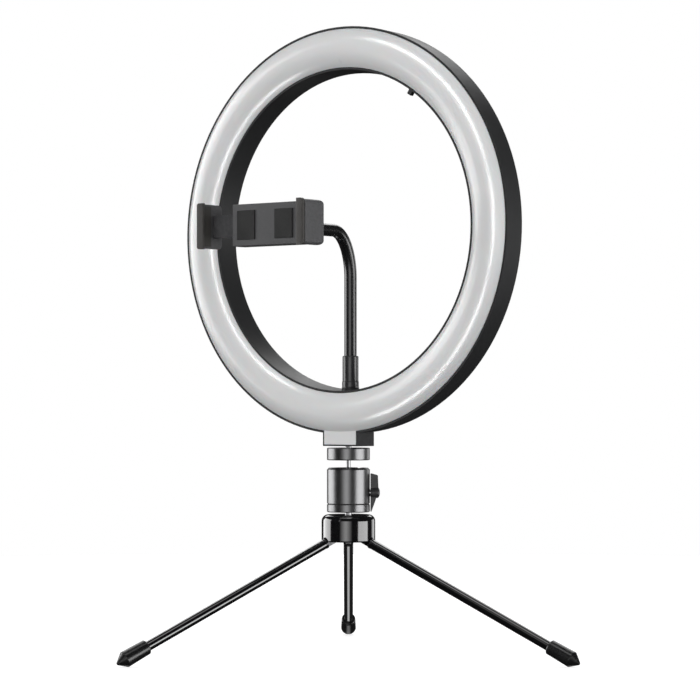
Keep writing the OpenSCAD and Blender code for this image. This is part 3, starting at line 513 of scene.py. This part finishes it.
def build_jaw_springs():
    """The springs stretch and shorten between the clamp's case and the jaw's rail."""
    springs = soften(copy_of("jaw_springs", "rail_springs"), 0)
    springs.data.materials.append(LOOKS["spring"])
    rail_end, case_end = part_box("jaw_springs")
    level = (rail_end + case_end) / 2
    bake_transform(springs, "clamp", "jaw", start=(case_end.x, level.y, level.z),
             end=(rail_end.x, level.y, level.z))
    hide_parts("jaw_springs")


build_jaw_springs()

# ---------------------------------------------------------------- ball head

def build_pan_gap_shade():
    """A dark rubber ring in the gap between the head and its base ring, which paints the shade in that gap.
    """
    low = span("base_ring")[1].z + GAP_SHADE_CLEARANCE
    high = span("head_body")[0].z - GAP_SHADE_CLEARANCE
    outer = span("base_ring")[1].x - GAP_SHADE_INSET
    inner = outer - GAP_SHADE_WIDTH
    mesh = bpy.data.meshes.new("pan_gap_shade")
    form = bmesh.new()
    corners = [form.verts.new(Vector((r, 0, z)) * MM)
               for r, z in ((inner, low), (outer, low), (outer, high), (inner, high))]
    edges = [form.edges.new((corners[i], corners[(i + 1) % 4])) for i in range(4)]
    bmesh.ops.spin(form, geom=corners + edges, axis=(0, 0, 1), cent=(0, 0, 0), steps=ROUND_SIDES,
                   angle=2 * math.pi, use_merge=True)
    bmesh.ops.remove_doubles(form, verts=form.verts, dist=MERGE_WITHIN)
    bmesh.ops.recalc_face_normals(form, faces=form.faces)
    form.to_mesh(mesh)
    form.free()
    shade_ring = soften(new_object("pan_gap_shade", mesh), 0.1, 2)
    # Painted shade: black rubber fills the pan gap so that the gap reads dark
    shade_ring.data.materials.append(LOOKS["gland"])
    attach(shade_ring, body_of("head_body"))


refined("ball_stem", "ball_and_stud", LOOKS["stem_metal"], 0.2)
refined("lock_wheel", "stud_wheel", LOOKS["head_metal"], 0.3)
refined("head_body", "head_shell", LOOKS["head_metal"], 0.12)
refined("base_ring", "pan_ring", LOOKS["head_metal"], 0.12)
refined("lock_knob", "wing_knob", LOOKS["knob"], 0.7, steps=4)
build_pan_gap_shade()
refinish(LOOKS["gland"], "friction_washer")
refinish(LOOKS["nylon"], "ball_seat", "brake_shoe")
refinish(LOOKS["head_metal"], "bottom_plate")
refinish(LOOKS["spring"], "pan_clip")
refinish(LOOKS["screw"], "knob_screw")

# ---------------------------------------------------------------- tripod

refined("hub_cap", "hub_shell", LOOKS["hub"], 0.3)
refined("leg_yoke", "hub_yoke", LOOKS["yoke"], 0.3)
refined("hub_stud", "hub_bolt", LOOKS["stem_metal"], 0.15)
refinish(LOOKS["screw"], "yoke_screws", "leg_pin_back", "leg_pin_left", "leg_pin_right")
for side in ("back", "left", "right"):
    refined(f"leg_tube_{side}", f"leg_{side}_tube", LOOKS["leg"], 0.15)
    refined(f"leg_tongue_{side}", f"leg_{side}_tongue", LOOKS["tongue"], 0.2)
    refined(f"foot_{side}", f"leg_{side}_foot", LOOKS["foot"], 0.4)

# ---------------------------------------------------------------- studio

FLOOR_RADIUS = 1.15
FLOOR_GLOW = 0.75


def build_floor():
    """A white floor that only the camera sees, so that the dark finishes stay dark."""
    mesh = bpy.data.meshes.new("floor")
    form = bmesh.new()
    bmesh.ops.create_circle(form, cap_ends=True, radius=FLOOR_RADIUS, segments=ROUND_SIDES)
    form.to_mesh(mesh)
    form.free()
    floor = new_object("floor", mesh)
    paper = finish("floor_paper", (0.4, 0.4, 0.4), 0.9, mottle=0.004, specular=0.0)
    glow = paper.node_tree.nodes["Principled BSDF"]
    glow.inputs["Emission Color"].default_value = (1, 1, 1, 1)
    glow.inputs["Emission Strength"].default_value = FLOOR_GLOW
    floor.data.materials.append(paper)
    floor.visible_glossy = False
    floor.visible_diffuse = False
    floor.visible_shadow = False


# What shines in the finishes: softboxes as (degrees right of the camera's side from, to,
# degrees above the horizon from, to, soft edge in degrees, level)
BOXES = [
    (-136, -82, -10, 26, 3, 4.2),      # left strip
    (41, 92, -18, 6, 3, 4.9),          # right strip, which also streaks the left leg
    (-38, 16, -20, 16, 24, 2.5),       # faint fill beside the camera
    (118, 150, -12, 12, 6, 1.6),       # back right
    (-44, -36, 2, 40, 6, 2.0),         # narrow strip, left of the camera
    (-70, 30, 58, 80, 8, 2.2),         # top, in front
]
# Behind the object on both sides: degrees from, degrees above the horizon from, to, level
RIM = (148, 20, 74, 2.6)
UNDER = (160, -62, -42, 1.3)           # low, which streaks the back leg
REAR_END = 220                         # past 180 degrees, so the two sides join
REAR_SOFT = 8
AMBIENT = 0.02


def box_level(n, azimuth, height, west, east, low, high, soft, level):
    """A patch of the sky with soft edges."""
    sines = [math.sin(math.radians(v)) for v in (low, low + soft / 2, high - soft / 2, high)]
    edges = [math.radians(v) for v in (west, west + soft, east - soft, east)]
    across = n.math("MULTIPLY", n.remap(azimuth, edges[0], edges[1], 0, 1),
                    n.remap(azimuth, edges[2], edges[3], 1, 0))
    up = n.math("MULTIPLY", n.remap(height, sines[0], sines[1], 0, 1),
                n.remap(height, sines[2], sines[3], 1, 0))
    return n.math("MULTIPLY", n.math("MULTIPLY", across, up), level)


def build_world():
    """Softboxes in a dark room. The camera sees plain white behind the object."""
    world = bpy.data.worlds.new("studio")
    bpy.context.scene.world = world
    world.use_nodes = True
    tree = world.node_tree
    tree.nodes.clear()
    n = Nodes(tree)
    direction = n.add("ShaderNodeTexCoord").outputs["Generated"]
    turned = n.add("ShaderNodeVectorRotate", {"rotation_type": "Z_AXIS"}, Vector=direction,
                   Angle=math.radians(90 - CAMERA_YAW))
    split = n.add("ShaderNodeSeparateXYZ", None, Vector=turned.outputs[0])
    azimuth = n.math("ARCTAN2", split.outputs[1], split.outputs[0])
    height = split.outputs[2]
    level = AMBIENT
    for box in BOXES:
        level = n.math("ADD", level, box_level(n, azimuth, height, *box))
    away = n.math("ABSOLUTE", azimuth)
    for start, low, high, strength in (RIM, UNDER):
        rear = box_level(n, away, height, start, REAR_END, low, high, REAR_SOFT, strength)
        level = n.math("ADD", level, rear)
    seen = n.add("ShaderNodeBackground", None, Color=(1, 1, 1, 1), Strength=1.0)
    lit = n.add("ShaderNodeBackground", None, Color=(1, 1, 1, 1), Strength=level)
    choose = n.add("ShaderNodeMixShader")
    tree.links.new(n.add("ShaderNodeLightPath").outputs["Is Camera Ray"], choose.inputs[0])
    tree.links.new(lit.outputs[0], choose.inputs[1])
    tree.links.new(seen.outputs[0], choose.inputs[2])
    output = n.add("ShaderNodeOutputWorld")
    tree.links.new(choose.outputs[0], output.inputs[0])


# Large soft lights that brighten the pale parts and leave no reflection:
# (degrees right of the camera's side, degrees up, metres away, metres across, watts)
SOFT_LIGHTS = [
    (-40, 14, 1.7, 1.7, 15.0),
    (20, 6, 1.7, 1.2, 7.0),
    (60, 40, 1.7, 1.2, 5.0),
    (104, 0, 1.7, 1.0, 7.0),
    (178, 35, 1.7, 1.2, 15.0),
]
LIGHTS_AIM = Vector((0, 0, 0.24))


def area_light(name, watts):
    """An area light that the camera doesn't see."""
    data = bpy.data.lights.new(name, "AREA")
    data.energy = watts
    light = new_object(name, data)
    light.visible_camera = False
    return light


def build_lights():
    """The soft lights, all turned to one point inside the ring."""
    for k, (side, up, away, size, watts) in enumerate(SOFT_LIGHTS):
        light = area_light(f"soft_{k + 1}", watts)
        light.data.size = size
        azimuth = math.radians(CAMERA_YAW - 90 + side)
        rise = math.radians(up)
        heading = Vector((math.cos(azimuth) * math.cos(rise), math.sin(azimuth) * math.cos(rise),
                          math.sin(rise)))
        light.location = LIGHTS_AIM + heading * away
        light.rotation_euler = heading.to_track_quat("Z", "Y").to_euler()
        light.visible_glossy = False


# Long narrow lights that draw the bright arc on the diffuser, and light nothing else:
# places round the ring, degrees from 3 o'clock up, and the slope of the surface they show on
SHINE_AT = (-62, -32, 0, 32, 62)
SHINE_SLOPE = 21
SHINE_INSET = 4            # mm inside the board's outer edge, where the highlight runs
SHINE_AWAY = 0.8           # m
SHINE_SIZE = (0.36, 0.15)  # m
SHINE_WATTS = 2.9


def mirrored(angle, slope):
    """A point on the diffuser and the direction that the camera sees mirrored there."""
    centre = middle("led_board") * MM
    outward = Vector((math.cos(math.radians(angle)), 0, math.sin(math.radians(angle))))
    point = centre + outward * (span("led_board")[1].x - SHINE_INSET) * MM
    tilt = math.radians(slope)
    normal = Vector((0, -1, 0)) * math.cos(tilt) + outward * math.sin(tilt)
    return point, (point - Vector(CAMERA_AT)).normalized().reflect(normal)


def build_shine():
    """Places each narrow light where the camera sees it mirrored, turned along the arc."""
    group = bpy.data.collections.new("diffuser_only")
    group.objects.link(bpy.data.objects["ring_diffuser"])
    for k, angle in enumerate(SHINE_AT):
        point, heading = mirrored(angle, SHINE_SLOPE)
        along = mirrored(angle + 1, SHINE_SLOPE)[1] - mirrored(angle - 1, SHINE_SLOPE)[1]
        along = (along - heading * along.dot(heading)).normalized()
        light = area_light(f"shine_{k + 1}", SHINE_WATTS)
        light.data.shape = "RECTANGLE"
        light.data.size, light.data.size_y = SHINE_SIZE
        turn = Matrix((along, heading.cross(along), heading)).transposed()
        light.matrix_world = Matrix.Translation(point + heading * SHINE_AWAY) @ turn.to_4x4()
        light.visible_diffuse = False
        light.light_linking.receiver_collection = group


def build_camera():
    """A long lens, shifted up instead of tilted, so that uprights stay upright."""
    data = bpy.data.cameras.new("camera")
    data.lens = CAMERA_LENS
    data.shift_y = CAMERA_SHIFT_Y
    data.clip_start = CAMERA_NEAR
    camera = new_object("camera", data)
    camera.location = CAMERA_AT
    camera.rotation_euler = (math.pi / 2, 0, math.radians(CAMERA_YAW))
    bpy.context.scene.camera = camera


build_floor()
build_world()
build_lights()
build_shine()
build_camera()
bpy.context.scene.view_settings.view_transform = "Standard"
